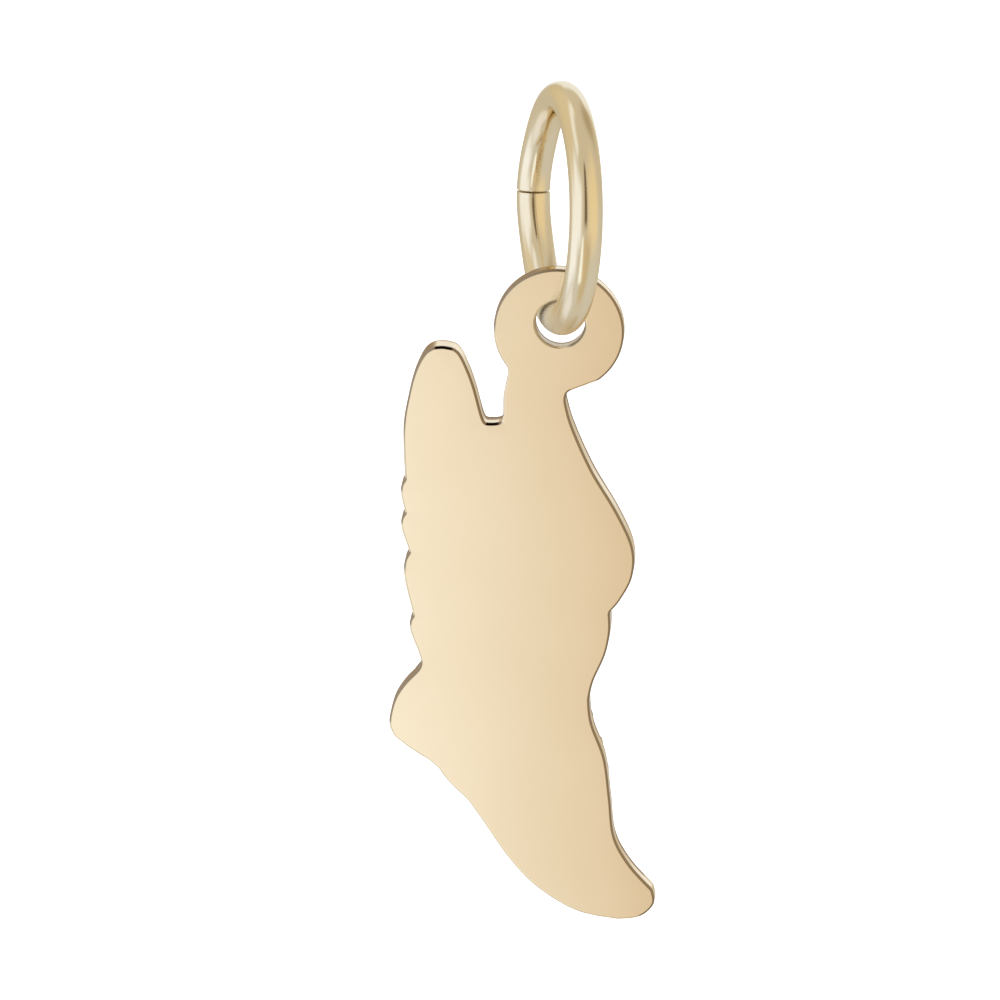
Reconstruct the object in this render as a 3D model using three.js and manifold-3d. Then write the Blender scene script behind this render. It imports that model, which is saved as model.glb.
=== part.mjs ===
// Winged shoe charm: a struck metal plate with a flat polished back and a low relief
// front, hung by the round eyelet at its top on a split jump ring.
// Millimetres, +Z up, +X to the right of someone who looks at the flat back, which
// faces -Y. The origin is the place inside the ring's top where the charm is hung.
import * as THREE from "three";
import Module from "manifold-3d";

const wasm = await Module();
wasm.setup();

// Jump ring: round wire bent to a circle, with butted ends
const WIRE = 0.81;
const RING_BORE = 4.54;
const SPLIT_GAP = 0.035;

// The bend that closing the ring left about its split: out from the ring's middle, aside
// out of its plane, and how far it spreads round the wire
const SPLIT_OUT = 0.05;
const SPLIT_ASIDE = 0.08;
const SPLIT_SPREAD_DEG = 26;

// How the ring lies: turned about the upright, leaning off it, and the place of the
// eyelet and of the split, counted round the wire from the ring's lowest point
const RING_TURN_DEG = 16.6;
const RING_LEAN_DEG = 4.2;
const EYELET_PLACE_DEG = 10.2;
const SPLIT_PLACE_DEG = -79;

// Eyelet: a round disc with the hole that the wire passes at a slant
const EYELET_WALL = 0.985;
const EYELET_THICKNESS = 0.36;
const HOLE_PLAY = 0.2;
const LIFT_SHARE = 0.65;
const HOLE_RIGHT_OF_DISC = 0.03;
const HOLE_ABOVE_DISC = 0.185;
const NECK_LEFT_DEG = 218.5;
const NECK_RIGHT_DEG = -52.6;

// How far below the disc's middle the body's round end on it aims, as a share of its radius
const NECK_END_SHARE = 0.15;

// Plate: the body's width and its reach below the hole's middle, and its thickness at
// the ground of the relief and at the highest forms
const BODY_WIDTH = 6.44;
const BODY_REACH = 15.43;
const GROUND_THICKNESS = 0.48;
const CREST_THICKNESS = 0.6;
const BACK_ROUNDING = 0.045;
const FRONT_ROUNDING = 0.07;

// How far the front half of the die sat beside the back half, right and up
const DIE_SHIFT = [0.007, 0.005];

// Facet lengths along the plate's edge and round the wire
const EDGE_STEP = 0.13;
const WIRE_SIDES = 24;
const RING_STEPS = 72;

// Edge of the body, drawn anticlockwise from the disc's lower left round by the shoe to
// its lower right, in millimetres right of and above the middle of the hole. Each stretch
// runs smoothly through its points.
const EDGE = {
  neckLeft: [[-1.28, -1.42], [-1.37, -1.9], [-1.38, -2.42], [-1.44, -2.6]],
  notchFloor: [[-1.44, -2.6], [-1.62, -2.63], [-1.82, -2.63]],
  tipInner: [[-1.82, -2.63], [-1.9, -2.42], [-2.07, -1.75], [-2.23, -1.28], [-2.42, -0.87], [-2.58, -0.72]],
  tipTop: [[-2.58, -0.72], [-2.83, -0.68], [-3.05, -0.7]],
  tipOuter: [[-3.05, -0.7], [-3.28, -0.87], [-3.51, -1.32], [-3.68, -1.98], [-3.8, -2.84], [-3.76, -4.16]],
  heelBack: [[-3.38, -8.8], [-3.43, -9.05], [-3.78, -9.45], [-4.03, -9.88], [-4.15, -10.47], [-4.02, -10.83]],
  heelBlock: [[-4.02, -10.83], [-3.59, -11.16], [-3.18, -11.42], [-2.95, -11.62]],
  arch: [[-2.95, -11.62], [-2.7, -11.97], [-2.24, -12.43]],
  sole: [[-2.24, -12.43], [-1.85, -13.0], [-1.23, -13.93], [-0.54, -14.66], [0.42, -15.24], [1.42, -15.43]],
  toe: [[1.42, -15.43], [1.95, -15.34], [2.29, -15.01], [2.26, -14.64]],
  instep: [[2.26, -14.64], [1.7, -14.0], [1.33, -13.28], [1.22, -12.28], [1.09, -11.25], [0.78, -10.35],
    [0.71, -9.72]],
  tongue: [[0.71, -9.72], [0.82, -9.24], [1.1, -8.56], [1.22, -7.95], [1.21, -7.45]],
  wingFront: [[1.21, -7.45], [1.48, -7.1], [1.76, -6.5], [1.77, -5.76], [1.39, -4.86], [0.77, -3.77],
    [0.3, -2.66], [0.13, -2.0]],
  neckRight: [[0.13, -2.0], [0.18, -1.78], [0.41, -1.66]],
};

// Feather ends down the wing's outer edge: the valley below each and its swell
const FEATHER_ENDS = [
  { valley: [-3.75, -5.02], swell: 0.11 },
  { valley: [-3.65, -6.04], swell: 0.14 },
  { valley: [-3.56, -7.68], swell: 0.17 },
  { valley: [-3.38, -8.8], swell: 0.14 },
];

// Relief of the front, in the same millimetres. A feather runs from root to tip and is
// bowed by its bend; each row lies over the one before.
const LONG_FEATHERS = [
  { root: [1.35, -5.9], bend: [0.0, -3.9], tip: [-0.72, -1.35], width: 1.2 },
  { root: [1.35, -6.5], bend: [-1.9, -4.3], tip: [-2.95, -0.2], width: 1.75 },
  { root: [1.3, -6.9], bend: [-1.9, -5.75], tip: [-4.2, -3.9], width: 1.25 },
  { root: [1.2, -7.2], bend: [-1.6, -6.65], tip: [-4.3, -4.85], width: 1.1 },
  { root: [1.1, -7.5], bend: [-1.5, -7.4], tip: [-4.3, -5.9], width: 1.3 },
  { root: [1.0, -7.8], bend: [-1.3, -8.2], tip: [-4.2, -7.4], width: 1.15 },
];
const SHORT_FEATHERS = [
  { root: [1.45, -5.4], bend: [0.6, -4.3], tip: [-0.3, -2.9], width: 0.9 },
  { root: [1.45, -6.0], bend: [0.1, -4.95], tip: [-1.15, -3.8], width: 0.95 },
  { root: [1.4, -6.5], bend: [-0.2, -5.95], tip: [-1.75, -4.95], width: 0.95 },
  { root: [1.3, -7.0], bend: [-0.3, -6.85], tip: [-2.0, -6.15], width: 0.95 },
  { root: [1.1, -7.5], bend: [-0.4, -7.75], tip: [-2.0, -7.4], width: 0.95 },
];
const LONG_FEATHER_TOP = 0.57;
const SHORT_FEATHER_TOP = 0.6;
const LOW_VANE_SHARE = 0.2;

// Bands and seams: a low rounded form along a line, from its first width to its last
const BANDS = [
  { name: "leading edge", line: [[0.98, -7.6], [1.4, -6.5], [1.35, -5.5], [0.65, -4.1], [0.06, -2.6],
    [-0.2, -1.5]], widths: [0.56, 0.78, 0.4], top: 0.6 },
  { name: "sole", line: [[-3.95, -10.5], [-3.5, -11.0], [-2.75, -11.55], [-2.1, -12.3], [-1.2, -13.65],
    [0.0, -14.75], [1.2, -15.2], [2.0, -14.95]], widths: [0.4, 0.42, 0.4], top: 0.6 },
  { name: "collar", line: [[-3.4, -9.15], [-2.3, -9.3], [-0.9, -9.2], [0.1, -8.95], [0.85, -8.45]],
    widths: [0.3, 0.34, 0.3], top: 0.59 },
  { name: "tongue", line: [[0.95, -7.75], [0.95, -8.3], [0.72, -8.95]],
    widths: [0.42, 0.45, 0.3], top: 0.57 },
  { name: "heel seam", line: [[-2.5, -9.4], [-2.25, -10.2], [-2.4, -11.35]],
    widths: [0.14, 0.14, 0.14], top: 0.6 },
  { name: "lace guard", line: [[-0.45, -9.35], [-0.2, -10.6], [0.1, -11.8], [0.55, -12.6], [1.1, -12.75]],
    widths: [0.14, 0.14, 0.14], top: 0.6 },
  { name: "toe cap", line: [[1.25, -13.4], [0.5, -13.5], [-0.1, -13.9], [-0.5, -14.4]],
    widths: [0.14, 0.14, 0.14], top: 0.6 },
];
const LACE_ROWS = 4;
const LACE_FIRST = [0.2, -9.75];
const LACE_PITCH = [0.13, -0.68];
const LACE_REACH = [0.5, 0.16];
const LACE_WIDTH = 0.2;
const SHOE_FACE = [[-3.3, -9.1], [-3.8, -9.95], [-3.6, -10.7], [-2.65, -11.3], [-1.9, -12.3], [-0.9, -13.65],
  [0.4, -14.75], [1.5, -14.95], [1.9, -14.7], [1.35, -13.9], [0.95, -12.9], [0.85, -11.8], [0.45, -10.6],
  [0.4, -9.8], [0.55, -9.1], [-1.2, -9.0]];
const SHOE_FACE_TOP = 0.54;

const rad = THREE.MathUtils.degToRad;

// A drawn point, stretched with the drawing to the body's width and reach
const drawn = new THREE.Box2().setFromPoints(
  Object.values(EDGE).flat().map(([x, z]) => new THREE.Vector2(x, z)),
);
const stretch = new THREE.Vector2(BODY_WIDTH / (drawn.max.x - drawn.min.x), -BODY_REACH / drawn.min.y);
const point = ([x, z]) => new THREE.Vector2(x, z).multiply(stretch);

// Ring frame: seen from the flat back, the wire runs round a middle circle
const ringRadius = (RING_BORE + WIRE) / 2;
const facing = new THREE.Vector3(Math.sin(rad(RING_TURN_DEG)), -Math.cos(rad(RING_TURN_DEG)), 0);
const upright = new THREE.Vector3(0, 0, 1).applyAxisAngle(facing, -rad(RING_LEAN_DEG));
const aside = new THREE.Vector3().crossVectors(facing, upright);
const ringMiddle = upright.clone().multiplyScalar(-RING_BORE / 2);

// The place on the wire's middle line at an angle from the ring's lowest point, going
// first towards the side of the flat back
function onRing(angle) {
  const fromSplit = Math.abs(angle - rad(SPLIT_PLACE_DEG));
  const toSplit = Math.min(fromSplit, 2 * Math.PI - fromSplit);
  const bend = Math.exp(-((toSplit / rad(SPLIT_SPREAD_DEG)) ** 2));
  const radius = ringRadius + SPLIT_OUT * bend;
  return ringMiddle.clone()
    .addScaledVector(facing, radius * Math.sin(angle))
    .addScaledVector(upright, -radius * Math.cos(angle))
    .addScaledVector(aside, SPLIT_ASIDE * bend);
}

// The wire goes through the eyelet in this direction, at a slant to the plate
const wireAtEyelet = onRing(rad(EYELET_PLACE_DEG));
const wireRun = onRing(rad(EYELET_PLACE_DEG + 1)).sub(onRing(rad(EYELET_PLACE_DEG - 1))).normalize();
const slant = Math.acos(Math.abs(wireRun.y));
const holeDiameter = WIRE / Math.cos(slant) + EYELET_THICKNESS * Math.tan(slant) + HOLE_PLAY;
const eyeletDiameter = holeDiameter + 2 * EYELET_WALL;

// The plate hangs with the wire against the top of its hole, so the hole's middle lies
// lower than the wire, square to the slant
const drop = new THREE.Vector3(-wireRun.z, 0, wireRun.x).normalize().multiplyScalar(-LIFT_SHARE * HOLE_PLAY);
const holeMiddle = wireAtEyelet.clone().add(drop);
const backFaceY = wireAtEyelet.y - EYELET_THICKNESS / 2;

// The disc's middle and a place on its edge, from the hole's middle
const discMiddle = new THREE.Vector2(-HOLE_RIGHT_OF_DISC, -HOLE_ABOVE_DISC);

function onDisc(degrees) {
  const radius = eyeletDiameter / 2;
  const fromMiddle = new THREE.Vector2(Math.cos(rad(degrees)), Math.sin(rad(degrees)));
  return fromMiddle.multiplyScalar(radius).add(discMiddle);
}

// Points along a smooth curve at even steps
function along(curve, step = EDGE_STEP) {
  const count = Math.max(2, Math.ceil(curve.getLength() / step));
  return curve.getSpacedPoints(count);
}

function smooth(points) {
  return new THREE.SplineCurve(points.map((each) => (each.isVector2 ? each : point(each))));
}

// One feather end: out quickly below the upper valley, then slowly in to the lower one
function featherEnd(from, to, swell) {
  const fall = to.y - from.y;
  return new THREE.CubicBezierCurve(
    from,
    new THREE.Vector2(from.x - 1.9 * swell, from.y + 0.2 * fall),
    new THREE.Vector2(to.x - 0.6 * swell, from.y + 0.65 * fall),
    to,
  );
}

// The body's edge from the disc's lower left round to its lower right
function bodyEdge() {
  const neckLeft = [onDisc(NECK_LEFT_DEG), ...EDGE.neckLeft];
  const neckRight = [...EDGE.neckRight, onDisc(NECK_RIGHT_DEG)];
  const curves = [neckLeft, EDGE.notchFloor, EDGE.tipInner, EDGE.tipTop, EDGE.tipOuter].map(smooth);
  let valley = point(EDGE.tipOuter.at(-1));
  for (const end of FEATHER_ENDS) {
    const next = point(end.valley);
    curves.push(featherEnd(valley, next, end.swell));
    valley = next;
  }
  const lower = [EDGE.heelBack, EDGE.heelBlock, EDGE.arch, EDGE.sole, EDGE.toe, EDGE.instep, EDGE.tongue,
    EDGE.wingFront, neckRight];
  curves.push(...lower.map(smooth));
  return curves.flatMap((curve) => along(curve).slice(0, -1)).concat(curves.at(-1).getPoint(1));
}

function circle(middle, radius, step = EDGE_STEP) {
  const curve = new THREE.EllipseCurve(middle.x, middle.y, radius, radius, 0, 2 * Math.PI);
  return along(curve, step).slice(0, -1);
}

// The whole plate: the body's edge, then the disc's arc from the neck's right over the
// top to its left, and the hole
function plateShape() {
  const radius = eyeletDiameter / 2;
  const arc = new THREE.EllipseCurve(discMiddle.x, discMiddle.y, radius, radius, rad(NECK_RIGHT_DEG),
    rad(NECK_LEFT_DEG));
  const shape = new THREE.Shape(bodyEdge().concat(along(arc).slice(1, -1)));
  const hole = circle(new THREE.Vector2(0, 0), holeDiameter / 2, EDGE_STEP / 2).reverse();
  shape.holes.push(new THREE.Path(hole));
  return shape;
}

// The body alone, closed by a round end that lies on the disc
function bodyShape() {
  const body = bodyEdge();
  const aim = discMiddle.clone().setY(discMiddle.y - NECK_END_SHARE * eyeletDiameter / 2);
  const cap = new THREE.QuadraticBezierCurve(body.at(-1), aim, body[0]);
  return new THREE.Shape(body.concat(along(cap).slice(1, -1)));
}

// A flat form from one depth to another, counted from the flat back, with both rims
// rounded; grow moves its wall outwards
function slab(shape, from, to, rounding, grow = 0, segments = 2) {
  const geometry = new THREE.ExtrudeGeometry(shape, {
    depth: to - from - 2 * rounding,
    bevelEnabled: true,
    bevelThickness: rounding,
    bevelSize: rounding,
    bevelOffset: grow - rounding,
    bevelSegments: segments,
  });
  geometry.translate(0, 0, rounding - to);
  geometry.rotateX(Math.PI / 2);
  return geometry;
}

// A low form along a line: an arched section that changes in width, standing on the
// plate. profile gives the height's share across it, from its right rim at -1, over
// its middle at 0, to its left rim at 1; spacing sets the sections close where the
// width changes fast.
function ridge(line, width, top, profile, steps, spacing) {
  const across = [-1, -0.8, 0, 0.8, 1];
  const foot = GROUND_THICKNESS / 2;
  const positions = [];
  for (let i = 0; i <= steps; i += 1) {
    const t = spacing(i / steps);
    const middle = line.getPoint(t);
    const run = line.getTangent(t);
    const half = width(t) / 2;
    const edge = across.map((s) => [s * half, GROUND_THICKNESS + (top - GROUND_THICKNESS) * profile(s)]);
    edge.push([half, foot], [-half, foot]);
    for (const [side, y] of edge) {
      positions.push(middle.x - run.y * side, y, middle.y + run.x * side);
    }
  }
  const ring = across.length + 2;
  const index = [];
  for (let i = 0; i < steps; i += 1) {
    for (let j = 0; j < ring; j += 1) {
      const a = i * ring + j;
      const b = i * ring + ((j + 1) % ring);
      index.push(a, b, a + ring, b, b + ring, a + ring);
    }
  }
  const last = steps * ring;
  for (let j = 1; j < ring - 1; j += 1) {
    index.push(0, j + 1, j);
    index.push(last, last + j, last + j + 1);
  }
  const geometry = new THREE.BufferGeometry();
  geometry.setAttribute("position", new THREE.Float32BufferAttribute(positions, 3));
  geometry.setIndex(index);
  return geometry;
}

// A feather: narrow at the root, widest past its middle and round at the tip. Its vane
// rises from one side to the other, so that each lies over the edge of the next.
function feather({ root, bend, tip, width }, top) {
  const line = new THREE.QuadraticBezierCurve(point(root), point(bend), point(tip));
  const vane = (t) => {
    const swell = 0.5 + 0.5 * Math.sin(Math.PI * Math.min(0.5, 0.72 * t));
    const end = Math.sqrt(Math.max(0.04, 1 - Math.max(0, (t - 0.8) / 0.2) ** 2));
    return width * swell * end;
  };
  const profile = (s) => (Math.abs(s) === 1 ? 0 : LOW_VANE_SHARE + (1 - LOW_VANE_SHARE) * (s + 1) / 1.8);
  return ridge(line, vane, top, profile, 12, (u) => Math.sin((Math.PI / 2) * u));
}

function band({ line, widths, top }, steps = 2 * line.length) {
  const [first, middle, last] = widths;
  const path = smooth(line);
  const width = (t) => {
    const bulk = first * (1 - t) * (1 - 2 * t) + 4 * middle * t * (1 - t) + last * t * (2 * t - 1);
    const fromEnd = Math.min(1, (Math.min(t, 1 - t) * path.getLength()) / bulk);
    return bulk * Math.sqrt(Math.max(0.1, 1 - (1 - fromEnd) ** 2));
  };
  return ridge(path, width, top, (s) => Math.sqrt(1 - s * s), steps, (u) => (1 - Math.cos(Math.PI * u)) / 2);
}

function solid(geometry) {
  const indexed = geometry.index ? geometry : null;
  const position = geometry.getAttribute("position");
  const keys = new Map();
  const vertices = [];
  const remap = [];
  for (let i = 0; i < position.count; i += 1) {
    const xyz = [position.getX(i), position.getY(i), position.getZ(i)].map((v) => Math.fround(v));
    const key = xyz.map((v) => v.toFixed(6)).join();
    if (!keys.has(key)) {
      keys.set(key, vertices.length / 3);
      vertices.push(...xyz);
    }
    remap.push(keys.get(key));
  }
  const corners = indexed ? Array.from(geometry.index.array) : remap.map((_, i) => i);
  const triangles = [];
  for (let i = 0; i < corners.length; i += 3) {
    const [a, b, c] = [remap[corners[i]], remap[corners[i + 1]], remap[corners[i + 2]]];
    if (a !== b && b !== c && c !== a) {
      triangles.push(a, b, c);
    }
  }
  return new wasm.Manifold(new wasm.Mesh({
    numProp: 3,
    vertProperties: new Float32Array(vertices),
    triVerts: new Uint32Array(triangles),
  }));
}

function toGeometry(manifold) {
  const mesh = manifold.getMesh();
  const geometry = new THREE.BufferGeometry();
  geometry.setAttribute("position", new THREE.BufferAttribute(mesh.vertProperties, 3));
  geometry.setIndex(new THREE.BufferAttribute(mesh.triVerts, 1));
  return geometry;
}

// Laces: short bars across the instep, one below the other
function laces() {
  const bars = [];
  for (let row = 0; row < LACE_ROWS; row += 1) {
    const x = LACE_FIRST[0] + row * LACE_PITCH[0];
    const z = LACE_FIRST[1] + row * LACE_PITCH[1];
    bars.push({
      line: [[x - LACE_REACH[0], z - LACE_REACH[1]], [x, z], [x + LACE_REACH[0], z + LACE_REACH[1]]],
      widths: [LACE_WIDTH, LACE_WIDTH, LACE_WIDTH],
      top: CREST_THICKNESS,
    });
  }
  return bars;
}

// Everything that stands on the front: the disc and the body's ground, then the forms
// of the relief over it
function frontForms() {
  const wall = 0.02;
  const eyelet = new THREE.Shape(circle(discMiddle, eyeletDiameter / 2));
  const shoeFace = new THREE.Shape(along(smooth([...SHOE_FACE, SHOE_FACE[0]]), 0.3).slice(0, -1));
  const grounds = [
    slab(eyelet, -1, EYELET_THICKNESS, FRONT_ROUNDING, wall, 1),
    slab(bodyShape(), -1, GROUND_THICKNESS, FRONT_ROUNDING, wall, 1),
  ];
  const parts = grounds.map((each) => each.translate(DIE_SHIFT[0], 0, DIE_SHIFT[1]));
  parts.push(slab(shoeFace, 0.1, SHOE_FACE_TOP, FRONT_ROUNDING, 0, 1));
  parts.push(...LONG_FEATHERS.map((each) => feather(each, LONG_FEATHER_TOP)));
  parts.push(...SHORT_FEATHERS.map((each) => feather(each, SHORT_FEATHER_TOP)));
  parts.push(...[...BANDS, ...laces()].map((each) => band(each)));
  return parts.map(solid).reduce((sum, part) => sum.add(part));
}

function shoePlate() {
  const blank = solid(slab(plateShape(), 0, CREST_THICKNESS, BACK_ROUNDING));
  const geometry = toGeometry(blank.intersect(frontForms()));
  geometry.translate(holeMiddle.x, backFaceY, holeMiddle.z);
  return geometry;
}

// The ring's middle line, from one side of the split round to the other
class RingLine extends THREE.Curve {
  getPoint(t, target = new THREE.Vector3()) {
    const halfGap = SPLIT_GAP / 2 / ringRadius;
    const start = rad(SPLIT_PLACE_DEG) + halfGap;
    return target.copy(onRing(start + t * 2 * (Math.PI - halfGap)));
  }
}

function jumpRing() {
  const facet = (Math.PI * WIRE) / WIRE_SIDES;
  const section = new THREE.Shape(circle(new THREE.Vector2(0, 0), WIRE / 2, facet));
  return new THREE.ExtrudeGeometry(section, {
    steps: RING_STEPS,
    bevelEnabled: false,
    extrudePath: new RingLine(),
  });
}

const plateGold = new THREE.MeshStandardMaterial({ color: 0xecd6b0, roughness: 0.12, metalness: 1 });
const ringGold = new THREE.MeshStandardMaterial({ color: 0xdcc79c, roughness: 0.18, metalness: 1 });

const group = new THREE.Group();
const pieces = [
  ["shoe_plate", shoePlate(), plateGold],
  ["jump_ring", jumpRing(), ringGold],
];
for (const [name, geometry, material] of pieces) {
  const mesh = new THREE.Mesh(geometry, material);
  mesh.name = name;
  group.add(mesh);
}

export default group;
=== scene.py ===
"""Looks of a winged shoe charm: a struck gold plate that hangs on a split jump ring.

Sizes inside the classes are millimetres, counted like the part's own: +X right and +Z up
for someone who looks at the flat back, which faces -Y. Meshes are handed over in metres.
"""

import logging
import math
from dataclasses import dataclass, field
from enum import Enum

import bpy
import numpy as np
from mathutils import Matrix, Vector
from mathutils.geometry import delaunay_2d_cdt
from mathutils.kdtree import KDTree


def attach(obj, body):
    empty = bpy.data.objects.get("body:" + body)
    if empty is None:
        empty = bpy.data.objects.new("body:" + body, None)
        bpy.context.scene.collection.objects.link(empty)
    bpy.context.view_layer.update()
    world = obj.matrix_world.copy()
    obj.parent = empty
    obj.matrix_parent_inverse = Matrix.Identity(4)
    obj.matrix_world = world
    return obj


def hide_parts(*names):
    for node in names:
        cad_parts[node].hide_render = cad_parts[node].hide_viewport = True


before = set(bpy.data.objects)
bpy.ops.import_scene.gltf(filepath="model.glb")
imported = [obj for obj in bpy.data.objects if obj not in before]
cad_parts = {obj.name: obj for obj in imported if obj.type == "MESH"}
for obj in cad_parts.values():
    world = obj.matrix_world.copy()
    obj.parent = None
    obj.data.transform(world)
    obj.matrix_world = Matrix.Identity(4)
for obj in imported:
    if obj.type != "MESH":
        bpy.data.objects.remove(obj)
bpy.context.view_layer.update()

MM = 0.001
FAR_AWAY = 1e9
NO_LENGTH = 1e-9
BESIDE = -1.0
LOG = logging.getLogger("charm")

Place = tuple[float, float]
Points = list[Place]
Colour = tuple[float, float, float]


class Surface(Enum):
    """The finishes of the plate, in the order of its material slots."""

    MIRROR_BACK = 0
    SHEARED_EDGE = 1
    STRUCK_FRONT = 2
    PUNCHED_HOLE = 3


class BandStyle(Enum):
    """What is cut into a band of the relief."""

    PLAIN = "plain"
    NOTCHED = "notched"
    STITCHED = "stitched"


# Curves in the plate's plane


def catmull_rom(points: Points, per_span: int = 24) -> np.ndarray:
    """Sample the smooth curve that runs through all the points.

    Args:
        points: the points that the curve passes.
        per_span: samples between two neighbouring points.

    Returns:
        The samples as rows of x and z.
    """
    p = np.asarray(points, float)
    samples = []
    for i in range(len(p) - 1):
        before, a, b, after = p[max(i - 1, 0)], p[i], p[i + 1], p[min(i + 2, len(p) - 1)]
        start, finish = (b - before) / 2, (after - a) / 2
        t = np.linspace(0, 1, per_span, endpoint=False)[:, None]
        samples.append((2 * a - 2 * b + start + finish) * t**3
                       + (-3 * a + 3 * b - 2 * start - finish) * t**2 + start * t + a)
    samples.append(p[-1:])
    return np.vstack(samples)


def bezier(control: list, count: int = 80) -> np.ndarray:
    """Sample a quadratic or cubic curve from its control points.

    Args:
        control: three or four control points.
        count: number of samples.

    Returns:
        The samples as rows of x and z.
    """
    t = np.linspace(0, 1, count)[:, None]
    level = [np.asarray(c, float) * np.ones_like(t) for c in control]
    while len(level) > 1:
        level = [a * (1 - t) + b * t for a, b in zip(level, level[1:])]
    return level[0]


def respaced(line: np.ndarray, step: float) -> np.ndarray:
    """Give a line evenly spaced points.

    Args:
        line: rows of x and z.
        step: the longest step allowed.

    Returns:
        The same line with even steps, both ends kept.
    """
    run = np.concatenate([[0], np.cumsum(np.hypot(*np.diff(line, axis=0).T))])
    count = max(2, math.ceil(run[-1] / step))
    at = np.linspace(0, run[-1], count + 1)
    return np.column_stack([np.interp(at, run, line[:, k]) for k in (0, 1)])


def inward_normals(loop: np.ndarray) -> np.ndarray:
    """Find the directions that point from an edge into the metal.

    Args:
        loop: a closed loop with the metal to its left.

    Returns:
        One unit normal for each point.
    """
    run = np.roll(loop, -1, axis=0) - np.roll(loop, 1, axis=0)
    run /= np.hypot(*run.T)[:, None]
    return np.column_stack([-run[:, 1], run[:, 0]])


def distance_to(points: np.ndarray, line: np.ndarray) -> tuple[np.ndarray, np.ndarray, np.ndarray]:
    """Measure points against a line of short segments.

    Args:
        points: rows of x and z.
        line: rows of x and z, joined in order.

    Returns:
        The distance, the share of the line's length at the nearest place, and the signed
        offset, positive to the left of the line's run.
    """
    a, b = line[:-1], line[1:]
    run = b - a
    length = np.hypot(*run.T)
    start = np.concatenate([[0], np.cumsum(length)])
    best = np.full(len(points), FAR_AWAY)
    share = np.zeros(len(points))
    offset = np.zeros(len(points))
    for i, (origin, direction, size) in enumerate(zip(a, run, length)):
        if size < NO_LENGTH:
            continue
        rel = points - origin
        t = np.clip(rel @ direction / size**2, 0, 1)
        gap = rel - t[:, None] * direction
        far = np.hypot(*gap.T)
        nearer = far < best
        best[nearer] = far[nearer]
        share[nearer] = (start[i] + t[nearer] * size) / start[-1]
        side = direction[0] * rel[nearer, 1] - direction[1] * rel[nearer, 0]
        offset[nearer] = side / size
    return best, share, offset


def inside(points: np.ndarray, loop: np.ndarray) -> np.ndarray:
    """Tell which points lie inside a closed loop.

    Args:
        points: rows of x and z.
        loop: the loop's corners in order.

    Returns:
        One truth value for each point.
    """
    found = np.zeros(len(points), bool)
    x, z = points.T
    for (x0, z0), (x1, z1) in zip(loop, np.roll(loop, -1, axis=0)):
        if z0 == z1:
            continue
        crosses = (z0 > z) != (z1 > z)
        found ^= crosses & (x < x0 + (z - z0) * (x1 - x0) / (z1 - z0))
    return found


def distance_to_loop(at: np.ndarray, loop: np.ndarray, step: float = 0.012) -> np.ndarray:
    """Measure many points against a closed loop.

    Args:
        at: rows of x and z.
        loop: the loop's corners in order.
        step: how finely the loop is sampled.

    Returns:
        The distance from each point.
    """
    dense = respaced(np.vstack([loop, loop[:1]]), step)
    tree = KDTree(len(dense))
    for i, (x, z) in enumerate(dense):
        tree.insert((x, z, 0), i)
    tree.balance()
    return np.array([tree.find((x, z, 0))[2] for x, z in at])


def smooth_step(value: np.ndarray, low: float, high: float) -> np.ndarray:
    """A soft step from 0 at low to 1 at high."""
    t = np.clip((value - low) / (high - low), 0, 1)
    return t * t * (3 - 2 * t)


def blurred(grid: np.ndarray, radius: float) -> np.ndarray:
    """Blur a grid of heights with a bell curve.

    Args:
        grid: the heights.
        radius: the bell's spread in cells.

    Returns:
        A blurred grid of the same size.
    """
    reach = max(1, math.ceil(3 * radius))
    kernel = np.exp(-0.5 * (np.arange(-reach, reach + 1) / radius) ** 2)
    kernel /= kernel.sum()
    for axis in (0, 1):
        padded = np.pad(grid, [(reach, reach) if k == axis else (0, 0) for k in (0, 1)], mode="edge")
        size = grid.shape[axis]
        grid = sum(w * padded.take(range(i, i + size), axis) for i, w in enumerate(kernel))
    return grid


# How the ring holds the plate


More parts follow.
